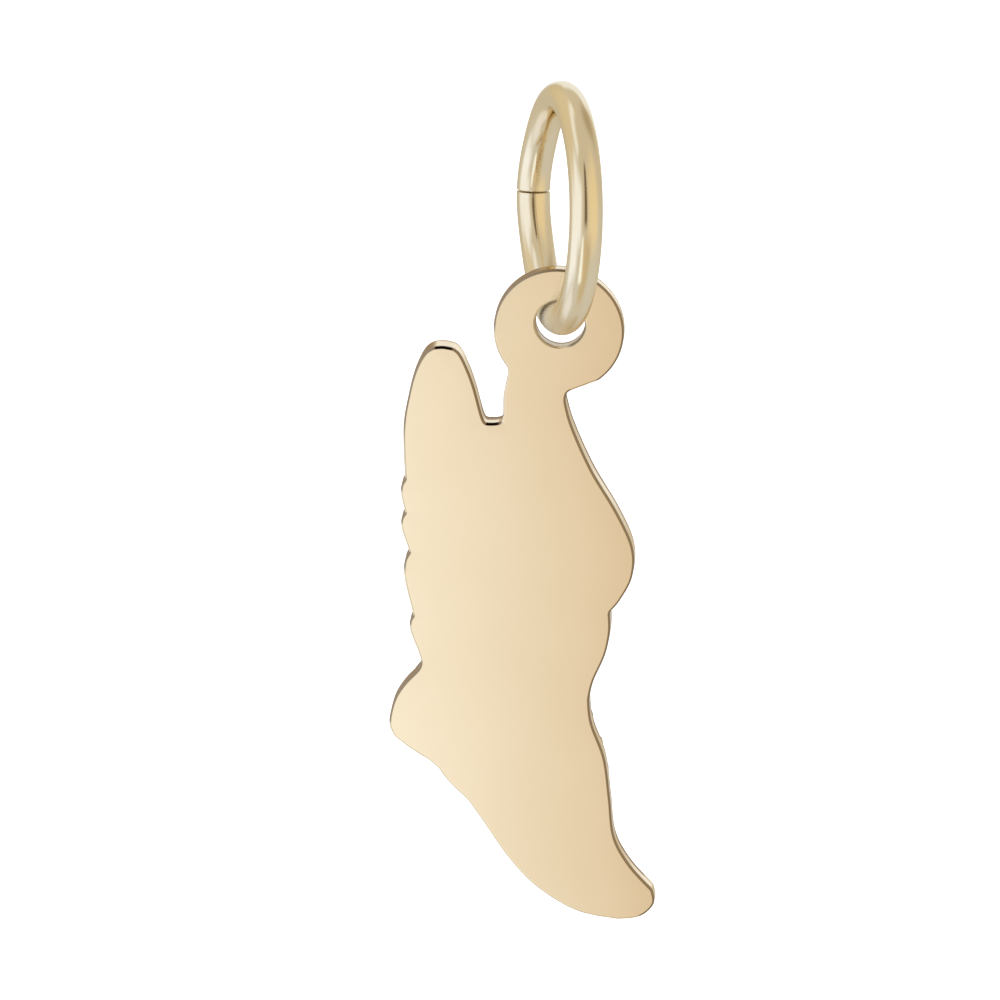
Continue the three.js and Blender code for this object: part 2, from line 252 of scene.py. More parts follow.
@dataclass(frozen=True)
class Threading:
    """The ring's lie and the place where its wire passes the plate's eyelet."""

    wire: float = 0.81
    bore: float = 4.54
    turn_deg: float = 16.6
    lean_deg: float = 4.2
    eyelet_deg: float = 10.2
    split_deg: float = -79.0
    split_gap: float = 0.035
    split_out: float = 0.05
    split_aside: float = 0.08
    split_spread_deg: float = 26.0
    plate_at_eyelet: float = 0.36
    hole_play: float = 0.2
    lift_share: float = 0.65

    @property
    def radius(self) -> float:
        """The radius of the wire's middle line."""
        return (self.bore + self.wire) / 2

    @property
    def facing(self) -> Vector:
        """The direction in the ring's plane that points to the flat back's side."""
        turn = math.radians(self.turn_deg)
        return Vector((math.sin(turn), -math.cos(turn), 0))

    @property
    def upright(self) -> Vector:
        """The direction in the ring's plane that points up."""
        return Matrix.Rotation(-math.radians(self.lean_deg), 3, self.facing) @ Vector((0, 0, 1))

    def on_ring(self, angle: float, out: float = 0.0) -> Vector:
        """Find a place in the ring's plane.

        Args:
            angle: radians from the ring's lowest point, first towards the flat back's side.
            out: distance outwards from the wire's middle line.

        Returns:
            The place in millimetres.
        """
        off = abs(angle - math.radians(self.split_deg))
        off = min(off, 2 * math.pi - off)
        bend = math.exp(-(off / math.radians(self.split_spread_deg)) ** 2)
        reach = self.radius + self.split_out * bend + out
        aside = self.facing.cross(self.upright) * (self.split_aside * bend)
        return (self.upright * (-self.bore / 2) + self.facing * (reach * math.sin(angle))
                - self.upright * (reach * math.cos(angle)) + aside)

    @property
    def wire_at_eyelet(self) -> Vector:
        """The wire's middle where it passes the eyelet."""
        return self.on_ring(math.radians(self.eyelet_deg))

    @property
    def wire_run(self) -> Vector:
        """The wire's direction where it passes the eyelet."""
        ahead = self.on_ring(math.radians(self.eyelet_deg + 1))
        return (ahead - self.on_ring(math.radians(self.eyelet_deg - 1))).normalized()

    @property
    def hole_diameter(self) -> float:
        """The hole that lets the slanting wire pass with its play."""
        slant = math.acos(abs(self.wire_run.y))
        return self.wire / math.cos(slant) + self.plate_at_eyelet * math.tan(slant) + self.hole_play

    @property
    def hole_middle(self) -> Vector:
        """The hole's middle: the plate hangs with the wire against the top of its hole."""
        across = Vector((-self.wire_run.z, 0, self.wire_run.x)).normalized()
        return self.wire_at_eyelet - across * (self.lift_share * self.hole_play)

    @property
    def back_face(self) -> float:
        """Where the flat back lies along Y."""
        return self.wire_at_eyelet.y - self.plate_at_eyelet / 2


# Finishes


class Nodes:
    """A short hand for adding and joining the nodes of one tree."""

    def __init__(self, tree: bpy.types.NodeTree) -> None:
        """Keep the tree."""
        self.tree = tree

    def put(self, socket: bpy.types.NodeSocket, value: object) -> None:
        """Fill an input.

        Args:
            socket: the input.
            value: a socket to join it to, or a plain value to set on it.
        """
        if isinstance(value, bpy.types.NodeSocket):
            self.tree.links.new(value, socket)
        else:
            socket.default_value = value

    def add(self, kind: str, inputs: dict | None = None, **settings: object) -> bpy.types.Node:
        """Add a node.

        Args:
            kind: the node's type name.
            inputs: values or sockets for its inputs, by name or number.
            **settings: properties of the node itself.

        Returns:
            The new node.
        """
        node = self.tree.nodes.new(kind)
        for name, value in settings.items():
            setattr(node, name, value)
        for key, value in (inputs or {}).items():
            self.put(node.inputs[key], value)
        return node

    def math(self, operation: str, *values: object) -> bpy.types.NodeSocket:
        """Add a Math node and return its result."""
        return self.add("ShaderNodeMath", dict(enumerate(values)), operation=operation).outputs[0]

    def mix(self, share: object, first: object, second: object) -> bpy.types.NodeSocket:
        """Blend two colours and return the result."""
        return self.add("ShaderNodeMix", {0: share, 6: first, 7: second}, data_type="RGBA").outputs[2]

    def span(self, value: object, low: float, high: float, to_low: float = 0.0,
             to_high: float = 1.0) -> bpy.types.NodeSocket:
        """Map a value smoothly from one span to another.

        Args:
            value: the socket to map.
            low: where the first span starts.
            high: where it ends.
            to_low: where the second span starts.
            to_high: where it ends.

        Returns:
            The mapped value's socket.
        """
        node = self.add("ShaderNodeMapRange", {0: value, 1: low, 2: high, 3: to_low, 4: to_high},
                        interpolation_type="SMOOTHSTEP")
        return node.outputs[0]

    def object_place(self) -> bpy.types.NodeSocket:
        """The place on the object, in metres."""
        return self.add("ShaderNodeTexCoord").outputs["Object"]


def rgba(colour: Colour) -> tuple[float, float, float, float]:
    """A colour with full cover."""
    return (*colour, 1.0)


def new_group(name: str, inputs: dict[str, tuple[str, object]], outputs: dict[str, str],
              ) -> tuple[bpy.types.NodeTree, Nodes, bpy.types.Node, bpy.types.Node]:
    """Start a node group with named sockets.

    Args:
        name: the group's name.
        inputs: for each input its socket type and first value.
        outputs: for each output its socket type.

    Returns:
        The group, a Nodes helper for it, its input node and its output node.
    """
    group = bpy.data.node_groups.new(name, "ShaderNodeTree")
    for label, (kind, value) in inputs.items():
        socket = group.interface.new_socket(name=label, in_out="INPUT", socket_type=kind)
        if value is not None:
            socket.default_value = value
    for label, kind in outputs.items():
        group.interface.new_socket(name=label, in_out="OUTPUT", socket_type=kind)
    nodes = Nodes(group)
    return group, nodes, nodes.add("NodeGroupInput"), nodes.add("NodeGroupOutput")


@dataclass
class SharedEffects:
    """The node groups that more than one finish uses, each built once."""

    haze_scale: float = 620.0
    noise_shares: Place = (0.45, 0.55)
    noise_span: Place = (0.36, 0.64)
    drift_span: Place = (0.35, 0.65)
    # black: a painted black reflection, for the thick body's rim on the back where it faces straight up.
    black: Colour = (0.004, 0.003, 0.002)
    rubbed: Colour = (0.88, 0.86, 0.76)
    rubbed_dulling: float = 0.4
    polish: bpy.types.NodeTree = field(init=False)
    tone: bpy.types.NodeTree = field(init=False)
    patina_and_painted_shade: bpy.types.NodeTree = field(init=False)

    def __post_init__(self) -> None:
        """Build all the groups."""
        self.polish = self.build_polish()
        self.tone = self.build_tone()
        self.patina_and_painted_shade = self.build_patina_and_painted_shade()

    def build_polish(self) -> bpy.types.NodeTree:
        """Fine marks that a wheel or a die leaves: stretched scratches over a soft haze.

        Returns:
            A group that puts out a roughness and a height.
        """
        number = "NodeSocketFloat"
        group, n, given, out = new_group(
            "polish_marks",
            {"Vector": ("NodeSocketVector", None), "Marks": (number, 1.0), "Stretch": (number, 12.0),
             "Smoothest": (number, 0.1), "Roughest": (number, 0.2)},
            {"Roughness": number, "Height": number})
        place, marks, stretch, smoothest, roughest = list(given.outputs)[:5]
        across = n.add("ShaderNodeCombineXYZ", {0: stretch, 1: stretch, 2: 1.0})
        stretched = n.add("ShaderNodeVectorMath", {0: place, 1: across.outputs[0]}, operation="MULTIPLY")
        scratch = n.add("ShaderNodeTexNoise", {"Vector": stretched.outputs[0], "Scale": marks,
                                               "Detail": 3.0, "Roughness": 0.6})
        haze = n.add("ShaderNodeTexNoise", {"Vector": place, "Scale": self.haze_scale,
                                            "Detail": 3.0, "Roughness": 0.55})
        both = n.math("ADD", *[n.math("MULTIPLY", noise.outputs[0], share)
                               for noise, share in zip((scratch, haze), self.noise_shares)])
        low, high = self.noise_span
        rough = n.add("ShaderNodeMapRange", {0: both, 1: low, 2: high, 3: smoothest, 4: roughest})
        n.put(out.inputs["Roughness"], rough.outputs[0])
        n.put(out.inputs["Height"], both)
        return group

    def build_tone(self) -> bpy.types.NodeTree:
        """A slow drift between two near tones, as plated and buffed metal has.

        Returns:
            A group that puts out a colour.
        """
        colour = "NodeSocketColor"
        group, n, given, out = new_group(
            "tone_drift",
            {"Vector": ("NodeSocketVector", None), "Size": ("NodeSocketFloat", 240.0),
             "Pale": (colour, None), "Deep": (colour, None)},
            {"Color": colour})
        place, size, pale, deep = list(given.outputs)[:4]
        drift = n.add("ShaderNodeTexNoise", {"Vector": place, "Scale": size, "Detail": 2.0, "Roughness": 0.5})
        n.put(out.inputs["Color"], n.mix(n.span(drift.outputs[0], *self.drift_span), pale, deep))
        return group

    def build_patina_and_painted_shade(self) -> bpy.types.NodeTree:
        """Darker metal in the recesses, and paler matt metal where it is rubbed.

        The darker metal is patina in the front's hollows, and painted shade and painted dark reflections on the
        rims, walls and wire ends. A mask of 1 is brown to the full amount, and one of 2 is a painted black
        reflection.

        Returns:
            A group that puts out a colour and a roughness.
        """
        colour, number = "NodeSocketColor", "NodeSocketFloat"
        group, n, given, out = new_group(
            "shade_and_patina_mix",
            {"Color": (colour, None), "Dark": (colour, None), "ShadeAndPatina": (number, 0.0), "Amount": (number, 0.5),
             "Roughness": (number, 0.15), "Dulling": (number, 0.2), "Wear": (number, 0.0)},
            {"Color": colour, "Roughness": number})
        metal, dark, shade_and_patina, amount, roughness, dulling, wear = list(given.outputs)[:7]
        share = n.math("MULTIPLY", n.math("MINIMUM", shade_and_patina, 1.0), amount)
        browned = n.mix(share, metal, dark)
        # Above 1 the mask paints a black reflection.
        blacked = n.mix(n.span(shade_and_patina, 1.0, 2.0), browned, rgba(self.black))
        n.put(out.inputs["Color"], n.mix(wear, blacked, rgba(self.rubbed)))
        dulled = n.math("MULTIPLY_ADD", share, dulling, roughness)
        n.put(out.inputs["Roughness"], n.math("MULTIPLY_ADD", wear, self.rubbed_dulling, dulled))
        return group


@dataclass(frozen=True)
class GoldFinish:
    """One finish of the gold, with the marks of how that surface was made."""

    name: str
    pale: Colour
    deep: Colour
    dark: Colour
    smoothest: float
    roughest: float
    marks: float
    stretch: float
    bump: float
    patina_and_painted_shade: float
    grazing: Colour = (1.0, 1.0, 1.0)
    drift_size: float = 230.0
    dulling: float = 0.2
    bump_height: float = 0.01 * MM

    def material(self, effects: SharedEffects) -> bpy.types.Material:
        """Make the material.

        Args:
            effects: the shared node groups.

        Returns:
            The finished material.
        """
        made = bpy.data.materials.new(self.name)
        made.use_nodes = True
        made.diffuse_color = rgba(self.pale)
        made.metallic = 1.0
        n = Nodes(made.node_tree)
        shader = made.node_tree.nodes["Principled BSDF"]
        place = n.object_place()
        # This mask darkens the metal: patina in the front's hollows, and painted shade and painted dark
        # reflections on the rims, walls and wire ends.
        shade_and_patina, wear = (n.add("ShaderNodeAttribute", attribute_name=name).outputs["Fac"]
                        for name in ("shade_and_patina", "wear"))
        tone = n.add("ShaderNodeGroup", {
            "Vector": place, "Size": self.drift_size, "Pale": rgba(self.pale), "Deep": rgba(self.deep),
        }, node_tree=effects.tone)
        polish = n.add("ShaderNodeGroup", {
            "Vector": place, "Marks": self.marks, "Stretch": self.stretch, "Smoothest": self.smoothest,
            "Roughest": self.roughest,
        }, node_tree=effects.polish)
        patina_and_painted_shade = n.add("ShaderNodeGroup", {
            "Color": tone.outputs[0], "Dark": rgba(self.dark), "ShadeAndPatina": shade_and_patina, "Amount": self.patina_and_painted_shade,
            "Roughness": polish.outputs["Roughness"], "Dulling": self.dulling, "Wear": wear,
        }, node_tree=effects.patina_and_painted_shade)
        bump = n.add("ShaderNodeBump", {"Strength": self.bump, "Distance": self.bump_height,
                                        "Height": polish.outputs["Height"]})
        n.put(shader.inputs["Base Color"], patina_and_painted_shade.outputs["Color"])
        n.put(shader.inputs["Roughness"], patina_and_painted_shade.outputs["Roughness"])
        n.put(shader.inputs["Normal"], bump.outputs[0])
        shader.inputs["Metallic"].default_value = 1.0
        shader.inputs["Specular Tint"].default_value = rgba(self.grazing)
        return made


@dataclass(frozen=True)
class Finishes:
    """Every finish on the charm."""

    # Its dark colour serves only the painted dark reflection lines on the back's rims.
    mirror_back: GoldFinish = GoldFinish(
        "mirror_back_gold", (0.880, 0.735, 0.520), (0.866, 0.716, 0.498), (0.13, 0.075, 0.035),
        smoothest=0.075, roughest=0.115, marks=2600.0, stretch=9.0, bump=0.02, patina_and_painted_shade=0.9)
    # Its dark colour paints the walls' line below the front, with painted shade deeper in inward bends, and
    # painted shade on the walls that face up and left.
    sheared_edge: GoldFinish = GoldFinish(
        "sheared_edge_gold", (0.880, 0.740, 0.530), (0.850, 0.700, 0.480), (0.25, 0.15, 0.08),
        smoothest=0.10, roughest=0.18, marks=5200.0, stretch=6.0, bump=0.06, patina_and_painted_shade=0.9,
        grazing=(0.95, 0.86, 0.70))
    # Its dark colour is patina in the relief's hollows, and on the front's rim the walls' line, with painted
    # shade deeper in inward bends.
    struck_front: GoldFinish = GoldFinish(
        "struck_front_gold", (0.880, 0.735, 0.520), (0.840, 0.680, 0.455), (0.30, 0.19, 0.09),
        smoothest=0.13, roughest=0.21, marks=3600.0, stretch=3.0, bump=0.08, patina_and_painted_shade=0.85)
    # Its base is darker and greyer than the other gold: partly the duller punched metal, partly painted shade
    # inside the hole.
    punched_hole: GoldFinish = GoldFinish(
        "punched_hole_gold", (0.72, 0.62, 0.48), (0.66, 0.56, 0.42), (0.26, 0.17, 0.09),
        smoothest=0.26, roughest=0.36, marks=4200.0, stretch=7.0, bump=0.1, patina_and_painted_shade=0.8,
        grazing=(0.97, 0.90, 0.80))
    # Its dark colour serves the painted shade in the split at the wire's ends.
    drawn_wire: GoldFinish = GoldFinish(
        "drawn_wire_gold", (0.840, 0.735, 0.530), (0.800, 0.680, 0.465), (0.26, 0.16, 0.06),
        smoothest=0.11, roughest=0.18, marks=3400.0, stretch=5.0, bump=0.05, patina_and_painted_shade=0.9,
        grazing=(0.88, 0.80, 0.64))


# The plate


@dataclass
class Feather:
    """One feather of the relief, from its root over its bend to its tip."""

    root: Place
    bend: Place
    tip: Place
    width: float
    reach: float = 4.2
    shaft_height: float = 0.03
    shaft_width: float = 0.045
    barb_height: float = 0.007
    barb_pitch: float = 0.17
    barb_slant: float = 0.85

    def height(self, at: np.ndarray, ground: float, top: float) -> np.ndarray:
        """Lay the feather over every point.

        Args:
            at: rows of x and z.
            ground: the level that the feather rises from.
            top: the level of its raised side.

        Returns:
            Heights above the flat back, BESIDE where the feather doesn't reach.
        """
        line = bezier([self.root, self.bend, self.tip], 60)
        near = np.hypot(*(at - line.mean(0)).T) < self.reach
        far, t, offset = distance_to(at[near], line)
        swell = 0.5 + 0.5 * np.sin(np.pi * np.minimum(0.5, 0.72 * t))
        tip_round = np.sqrt(np.maximum(0.02, 1 - np.maximum(0, (t - 0.8) / 0.2) ** 2))
        half = self.width * swell * tip_round / 2
        s = offset / half
        vane = np.clip(0.2 + 0.8 * (s + 1) / 1.8, 0.0, 1.0) * (1 - smooth_step(np.abs(s), 0.86, 1.0))
        shaft = self.shaft_height * np.exp(-((offset / self.shaft_width) ** 2))
        shaft *= smooth_step(1 - t, 0.02, 0.2)
        run = np.hypot(*np.diff(line, axis=0).T).sum()
        barb = np.cos(2 * np.pi * (t * run - self.barb_slant * np.abs(offset)) / self.barb_pitch)
        barb *= self.barb_height * smooth_step(np.abs(s), 0.1, 0.3) * (1 - smooth_step(np.abs(s), 0.75, 0.95))
        height = np.full(len(at), BESIDE)
        height[near] = np.where((np.abs(s) < 1) & (far < half * 1.05),
                                ground + (top - ground) * vane + shaft + barb, BESIDE)
        return height


@dataclass
class Band:
    """A low rounded form along a line, from its first width to its last."""

    line: Points
    widths: tuple[float, float, float]
    top: float
    style: BandStyle = BandStyle.PLAIN
    notch_pitch: float = 0.3
    notch_depth: float = 0.022
    stitch_pitch: float = 0.24
    stitch_depth: float = 0.04

    def height(self, at: np.ndarray, ground: float) -> np.ndarray:
        """Lay the band over every point.

        Args:
            at: rows of x and z.
            ground: the level that the band rises from.

        Returns:
            Heights above the flat back, BESIDE where the band doesn't reach.
        """
        line = catmull_rom(self.line, 14)
        far, t, offset = distance_to(at, line)
        first, middle, last = self.widths
        along = t * np.hypot(*np.diff(line, axis=0).T).sum()
        half = (first * (1 - t) * (1 - 2 * t) + 4 * middle * t * (1 - t) + last * t * (2 * t - 1)) / 2
        s = np.minimum(far / half, 1.0)
        height = ground + (self.top - ground) * np.sqrt(1 - s * s)
        if self.style is BandStyle.NOTCHED:
            cut = smooth_step(np.cos(2 * np.pi * along / self.notch_pitch), 0.25, 0.95)
            height -= self.notch_depth * cut * (offset < 0.02) * smooth_step(1 - s, 0.0, 0.3)
        if self.style is BandStyle.STITCHED:
            gap = smooth_step(np.cos(2 * np.pi * along / self.stitch_pitch), 0.45, 0.95)
            height -= self.stitch_depth * gap
        return np.where(far < half, height, BESIDE)


@dataclass(frozen=True)
class Facing:
    """A range of directions that an edge can face, with a soft start."""

    towards: Place
    start: float
    full: float

    def share(self, out: np.ndarray) -> np.ndarray:
        """How fully each outward direction lies in the range, from 0 to 1."""
        return smooth_step(out @ np.array(self.towards), self.start, self.full)


@dataclass
class ShoePlate:
    """The struck plate: its outline, its flat back and the relief of its front."""

    threading: Threading
    eyelet_wall: float = 0.985
    ground: float = 0.48
    crest: float = 0.6
    long_top: float = 0.572
    short_top: float = 0.602
    front_rounding: float = 0.06
    back_rounding: float = 0.05
    back_margin: float = 0.006
    disc_middle: Place = (-0.03, -0.185)
    neck_left_deg: float = 218.5
    neck_right_deg: float = -52.6
    neck_end_share: float = 0.15

    edge_step: float = 0.035
    front_step: float = 0.038
    back_step: float = 0.6
    cell: float = 0.02
    grid_corner: Place = (-4.4, -15.6)
    grid_size: Place = (7.0, 17.4)
    rim_rows: int = 6
    wall_rows: int = 7

    # Strength of the painted dark reflection lines on the back's rims and round the hole.
    line_strength: float = 0.85
    left_line_share: float = 0.55
    face_edge: float = 0.045
    face_dome: float = 0.03
    recess_depth: float = 0.03
    bend_reach: float = 0.35
    full_bend: float = 0.9
    # Directions for the painted marks: a painted dark reflection line where the back's rim faces up or right, a
    # painted black reflection where it faces straight up, painted dark reflection lines round the hole, and
    # painted shade on the walls that face up and left.
    painted_line_facing: Facing = Facing((0.537, 0.843), -0.64, -0.46)
    painted_black_facing: Facing = Facing((0.0, 1.0), 0.93, 0.985)
    hole_right: Facing = Facing((0.82, -0.57), 0.72, 0.92)
    hole_left: Facing = Facing((-0.87, -0.5), 0.5, 0.9)
    painted_shade_on_disc: Facing = Facing((-0.84, 0.54), 0.62, 0.84)
    painted_shade_on_wing: Facing = Facing((-0.86, 0.51), 0.6, 0.95)
    painted_shade_wing_left_of: float = -2.4

    neck_left: Points = field(default_factory=lambda: [
        (-1.28, -1.42), (-1.37, -1.9), (-1.38, -2.42), (-1.44, -2.6)])
    stretches_above: list[Points] = field(default_factory=lambda: [
        [(-1.44, -2.6), (-1.62, -2.63), (-1.82, -2.63)],
        [(-1.82, -2.63), (-1.9, -2.42), (-2.07, -1.75), (-2.23, -1.28), (-2.42, -0.87), (-2.58, -0.72)],
        [(-2.58, -0.72), (-2.83, -0.68), (-3.05, -0.7)],
        [(-3.05, -0.7), (-3.28, -0.87), (-3.51, -1.32), (-3.68, -1.98), (-3.8, -2.84), (-3.76, -4.16)],
    ])
    feather_ends: list[tuple[tuple[float, float], float]] = field(default_factory=lambda: [
        ((-3.75, -5.02), 0.11), ((-3.65, -6.04), 0.14), ((-3.56, -7.68), 0.17), ((-3.38, -8.8), 0.14)])
    stretches_below: list[Points] = field(default_factory=lambda: [
        [(-3.38, -8.8), (-3.43, -9.05), (-3.78, -9.45), (-4.03, -9.88), (-4.15, -10.47), (-4.02, -10.83)],
        [(-4.02, -10.83), (-3.59, -11.16), (-3.18, -11.42), (-2.95, -11.62)],
        [(-2.95, -11.62), (-2.7, -11.97), (-2.24, -12.43)],
        [(-2.24, -12.43), (-1.85, -13.0), (-1.23, -13.93), (-0.54, -14.66), (0.42, -15.24), (1.42, -15.43)],
        [(1.42, -15.43), (1.95, -15.34), (2.29, -15.01), (2.26, -14.64)],
        [(2.26, -14.64), (1.7, -14.0), (1.33, -13.28), (1.22, -12.28), (1.09, -11.25), (0.78, -10.35),
         (0.71, -9.72)],
        [(0.71, -9.72), (0.82, -9.24), (1.1, -8.56), (1.22, -7.95), (1.21, -7.45)],
        [(1.21, -7.45), (1.48, -7.1), (1.76, -6.5), (1.77, -5.76), (1.39, -4.86), (0.77, -3.77), (0.3, -2.66),
         (0.13, -2.0)],
    ])
    neck_right: Points = field(default_factory=lambda: [(0.13, -2.0), (0.18, -1.78), (0.41, -1.66)])

    long_feathers: list[Feather] = field(default_factory=lambda: [
        Feather((1.35, -5.9), (0.0, -3.9), (-0.72, -1.35), 1.2),
        Feather((1.35, -6.5), (-1.9, -4.3), (-2.95, -0.2), 1.75),
        Feather((1.3, -6.9), (-1.9, -5.75), (-4.2, -3.9), 1.25),
        Feather((1.2, -7.2), (-1.6, -6.65), (-4.3, -4.85), 1.1),
        Feather((1.1, -7.5), (-1.5, -7.4), (-4.3, -5.9), 1.3),
        Feather((1.0, -7.8), (-1.3, -8.2), (-4.2, -7.4), 1.15),
    ])
    short_feathers: list[Feather] = field(default_factory=lambda: [
        Feather((1.45, -5.4), (0.6, -4.3), (-0.3, -2.9), 0.9),
        Feather((1.45, -6.0), (0.1, -4.95), (-1.15, -3.8), 0.95),
        Feather((1.4, -6.5), (-0.2, -5.95), (-1.75, -4.95), 0.95),
        Feather((1.3, -7.0), (-0.3, -6.85), (-2.0, -6.15), 0.95),
        Feather((1.1, -7.5), (-0.4, -7.75), (-2.0, -7.4), 0.95),
    ])
    shoe_face: Points = field(default_factory=lambda: [
        (-3.3, -9.1), (-3.8, -9.95), (-3.6, -10.7), (-2.65, -11.3), (-1.9, -12.3), (-0.9, -13.65), (0.4, -14.75),
        (1.5, -14.95), (1.9, -14.7), (1.35, -13.9), (0.95, -12.9), (0.85, -11.8), (0.45, -10.6), (0.4, -9.8),
        (0.55, -9.1), (-1.2, -9.0), (-3.3, -9.1)])
    bands: list[Band] = field(default_factory=lambda: [
        Band([(0.98, -7.6), (1.4, -6.5), (1.35, -5.5), (0.65, -4.1), (0.06, -2.6), (-0.2, -1.5)],
             (0.56, 0.78, 0.4), 0.6),
        Band([(-3.95, -10.5), (-3.5, -11.0), (-2.75, -11.55), (-2.1, -12.3), (-1.2, -13.65), (0.0, -14.75),
              (1.2, -15.2), (2.0, -14.95)], (0.4, 0.42, 0.4), 0.6, BandStyle.NOTCHED),
        Band([(-3.4, -9.15), (-2.3, -9.3), (-0.9, -9.2), (0.1, -8.95), (0.85, -8.45)], (0.3, 0.34, 0.3), 0.59),
        Band([(0.95, -7.75), (0.95, -8.3), (0.72, -8.95)], (0.42, 0.45, 0.3), 0.57),
        Band([(-2.5, -9.4), (-2.25, -10.2), (-2.4, -11.35)], (0.14, 0.14, 0.14), 0.6, BandStyle.STITCHED),
        Band([(-0.45, -9.35), (-0.2, -10.6), (0.1, -11.8), (0.55, -12.6), (1.1, -12.75)], (0.14, 0.14, 0.14), 0.6,
             BandStyle.STITCHED),
        Band([(1.25, -13.4), (0.5, -13.5), (-0.1, -13.9), (-0.5, -14.4)], (0.14, 0.14, 0.14), 0.6,
             BandStyle.STITCHED),
    ])
    lace_rows: int = 4
    lace_first: tuple[float, float] = (0.2, -9.75)
    lace_pitch: tuple[float, float] = (0.13, -0.68)
    lace_reach: tuple[float, float] = (0.5, 0.16)
    lace_width: float = 0.2

    @property
    def disc_radius(self) -> float:
        """The radius of the eyelet's disc."""
        return self.threading.hole_diameter / 2 + self.eyelet_wall

    def on_disc(self, degrees: float) -> tuple[float, float]:
        """A place on the edge of the eyelet's disc."""
        turn = math.radians(degrees)
        return (self.disc_middle[0] + self.disc_radius * math.cos(turn),
                self.disc_middle[1] + self.disc_radius * math.sin(turn))

    def feather_end(self, start: tuple[float, float], stop: tuple[float, float], swell: float) -> np.ndarray:
        """One scallop of the wing's outer edge.

        Args:
            start: the valley above it.
            stop: the valley below it.
            swell: how far it stands out.

        Returns:
            The scallop's points.
        """
        fall = stop[1] - start[1]
        return bezier([start, (start[0] - 1.9 * swell, start[1] + 0.2 * fall),
                       (stop[0] - 0.6 * swell, start[1] + 0.65 * fall), stop])

    def outline(self) -> np.ndarray:
        """Trace the whole outer edge.

        Returns:
            An anticlockwise loop, closed without a double point.
        """
        lines = [catmull_rom([self.on_disc(self.neck_left_deg), *self.neck_left])]
        lines += [catmull_rom(stretch) for stretch in self.stretches_above]
        valley = self.stretches_above[-1][-1]
        for stop, swell in self.feather_ends:
            lines.append(self.feather_end(valley, stop, swell))
            valley = stop
        lines += [catmull_rom(stretch) for stretch in self.stretches_below]
        lines.append(catmull_rom([*self.neck_right, self.on_disc(self.neck_right_deg)]))
        arc = np.linspace(self.neck_right_deg, self.neck_left_deg, 120)
        lines.append(np.array([self.on_disc(a) for a in arc]))
        whole = np.vstack([line[:-1] for line in lines] + [lines[-1][-1:]])
        loop = respaced(whole, self.edge_step)[:-1]
        for _ in range(2):
            loop = loop / 2 + (np.roll(loop, 1, axis=0) + np.roll(loop, -1, axis=0)) / 4
        return loop

    def hole(self) -> np.ndarray:
        """Trace the eyelet's hole.

        Returns:
            A clockwise loop, so that the metal lies to its left.
        """
        turn = np.linspace(0, -2 * math.pi, 128, endpoint=False)
        radius = self.threading.hole_diameter / 2
        return np.column_stack([radius * np.cos(turn), radius * np.sin(turn)])

    def from_disc(self, at: np.ndarray) -> np.ndarray:
        """How far each point lies outside the eyelet's disc, below 0 on it."""
        return np.hypot(*(at - np.array(self.disc_middle)).T) - self.disc_radius

    def lace_bands(self) -> list[Band]:
        """Lay the laces: short bars across the instep, one below the other.

        Returns:
            One band for each lace.
        """
        bars = []
        dx, dz = self.lace_reach
        for row in range(self.lace_rows):
            x, z = (first + row * pitch for first, pitch in zip(self.lace_first, self.lace_pitch))
            line = [(x - dx, z - dz), (x, z), (x + dx, z + dz)]
            bars.append(Band(line, (self.lace_width,) * 3, self.crest))
        return bars

    def levels(self, at: np.ndarray) -> np.ndarray:
        """Lay out what lies under the relief: the thin disc, the body and the shoe's domed face.

        Args:
            at: rows of x and z.

        Returns:
            Heights above the flat back.
        """
        left, right = self.on_disc(self.neck_left_deg), self.on_disc(self.neck_right_deg)
        aim = (self.disc_middle[0], self.disc_middle[1] - self.neck_end_share * self.disc_radius)
        step = bezier([left, aim, right])
        above_step = at[:, 1] >= np.interp(at[:, 0], step[:, 0], step[:, 1])
        left_of_neck = (self.from_disc(at) < 0.1) & (at[:, 1] > left[1])
        thin = np.where(at[:, 0] < left[0], left_of_neck, above_step)
        face = catmull_rom(self.shoe_face, 8)
        depth, _, _ = distance_to(at, face)
        dome = self.face_edge * smooth_step(depth, 0.0, 0.09) + self.face_dome * smooth_step(depth, 0.05, 0.9)
        return np.where(inside(at, face), self.ground + dome,
                        np.where(thin, self.threading.plate_at_eyelet, self.ground))

    def relief(self) -> tuple[np.ndarray, np.ndarray]:
        """Lay out the front on a fine grid.

        Returns:
            The heights and the recess mask.
        """
        size = [int(length / self.cell) for length in self.grid_size]
        x, z = (corner + self.cell * np.arange(count) for corner, count in zip(self.grid_corner, size))
        at = np.stack(np.meshgrid(x, z, indexing="ij"), -1).reshape(-1, 2)
        height = self.levels(at)
        for feathers, top in ((self.long_feathers, self.long_top), (self.short_feathers, self.short_top)):
            for feather in feathers:
                height = np.maximum(height, feather.height(at, self.ground, top))
        for band in [*self.bands, *self.lace_bands()]:
            height = np.maximum(height, band.height(at, self.ground))
        grid = blurred(height.reshape(size), 1.0)
        return grid, np.clip((blurred(grid, 5.0) - grid) / self.recess_depth, 0, 1)

    def sample(self, grid: np.ndarray, at: np.ndarray) -> np.ndarray:
        """Read a grid between its cells.

        Args:
            grid: the values.
            at: rows of x and z.

        Returns:
            One value for each row.
        """
        place = (at - np.array(self.grid_corner)) / self.cell
        cell = np.clip(place.astype(int), 0, np.array(grid.shape) - 2)
        i, j = cell.T
        u, v = np.clip(place - cell, 0, 1).T
        return ((1 - u) * (1 - v) * grid[i, j] + u * (1 - v) * grid[i + 1, j]
                + (1 - u) * v * grid[i, j + 1] + u * v * grid[i + 1, j + 1])

